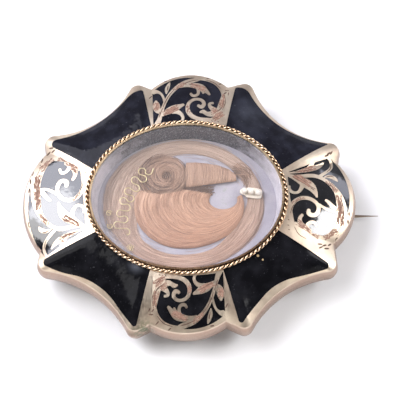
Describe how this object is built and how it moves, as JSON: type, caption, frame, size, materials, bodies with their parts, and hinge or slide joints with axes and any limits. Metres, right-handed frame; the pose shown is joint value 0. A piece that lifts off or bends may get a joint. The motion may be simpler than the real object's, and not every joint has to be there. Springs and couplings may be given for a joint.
{
  "type": "locket brooch",
  "caption": "Oval scalloped brooch of gold and black enamel, with a glazed oval well of worked hair and a pin behind.",
  "frame": {"origin": "on the axis of the pin, behind the middle of the brooch", "axes": "+X along the brooch and the pin towards its point, +Y up as it is worn, +Z out of the face"},
  "size_m": [0.048, 0.0373, 0.0097],
  "materials": {
    "gold_case": "worn rose gold, engraved",
    "gold_bezel": "polished gold",
    "gold_rope": "bright twisted gold wire",
    "gold_trim": "dull fine gold",
    "gold_pin": "worn gold",
    "black_enamel": "glossy black enamel",
    "crystal": "polished flat glass",
    "pale_liner": "pale satin card, dusty",
    "opaline": "milky opaline glass",
    "hair_border": "close-laid brown hair",
    "hair_lock": "combed brown hair",
    "hair_roll": "combed brown hair",
    "hair_whorl": "coiled brown hair",
    "pearl": "small cream pearls"
  },
  "bodies": {
    "root": {"backing": "opaline", "bezel": "gold_bezel", "case": "gold_case", "enamel_east_1": "black_enamel", "enamel_east_2": "black_enamel", "enamel_east_3": "black_enamel", "enamel_east_4": "black_enamel", "enamel_east_5": "black_enamel", "enamel_east_6": "black_enamel", "enamel_ne": "black_enamel", "enamel_north_1": "black_enamel", "enamel_north_2": "black_enamel", "enamel_north_3": "black_enamel", "enamel_north_4": "black_enamel", "enamel_north_5": "black_enamel", "enamel_nw": "black_enamel", "enamel_se": "black_enamel", "enamel_south_1": "black_enamel", "enamel_south_2": "black_enamel", "enamel_south_3": "black_enamel", "enamel_south_4": "black_enamel", "enamel_south_5": "black_enamel", "enamel_sw": "black_enamel", "enamel_west_1": "black_enamel", "enamel_west_2": "black_enamel", "enamel_west_3": "black_enamel", "enamel_west_4": "black_enamel", "enamel_west_5": "black_enamel", "enamel_west_6": "black_enamel", "glass": "crystal", "gold_curl_1": "gold_trim", "gold_curl_2": "gold_trim", "gold_knot": "gold_trim", "gold_wire": "gold_trim", "hair_lock": "hair_lock", "hair_ring": "hair_border", "hair_roll": "hair_roll", "hair_whorl": "hair_whorl", "liner": "pale_liner", "pearl_1": "pearl", "pearl_2": "pearl", "pearl_3": "pearl", "pearl_binding": "gold_trim", "pin_stem": "gold_pin", "rope_border": "gold_rope"}
  },
  "joints": []
}
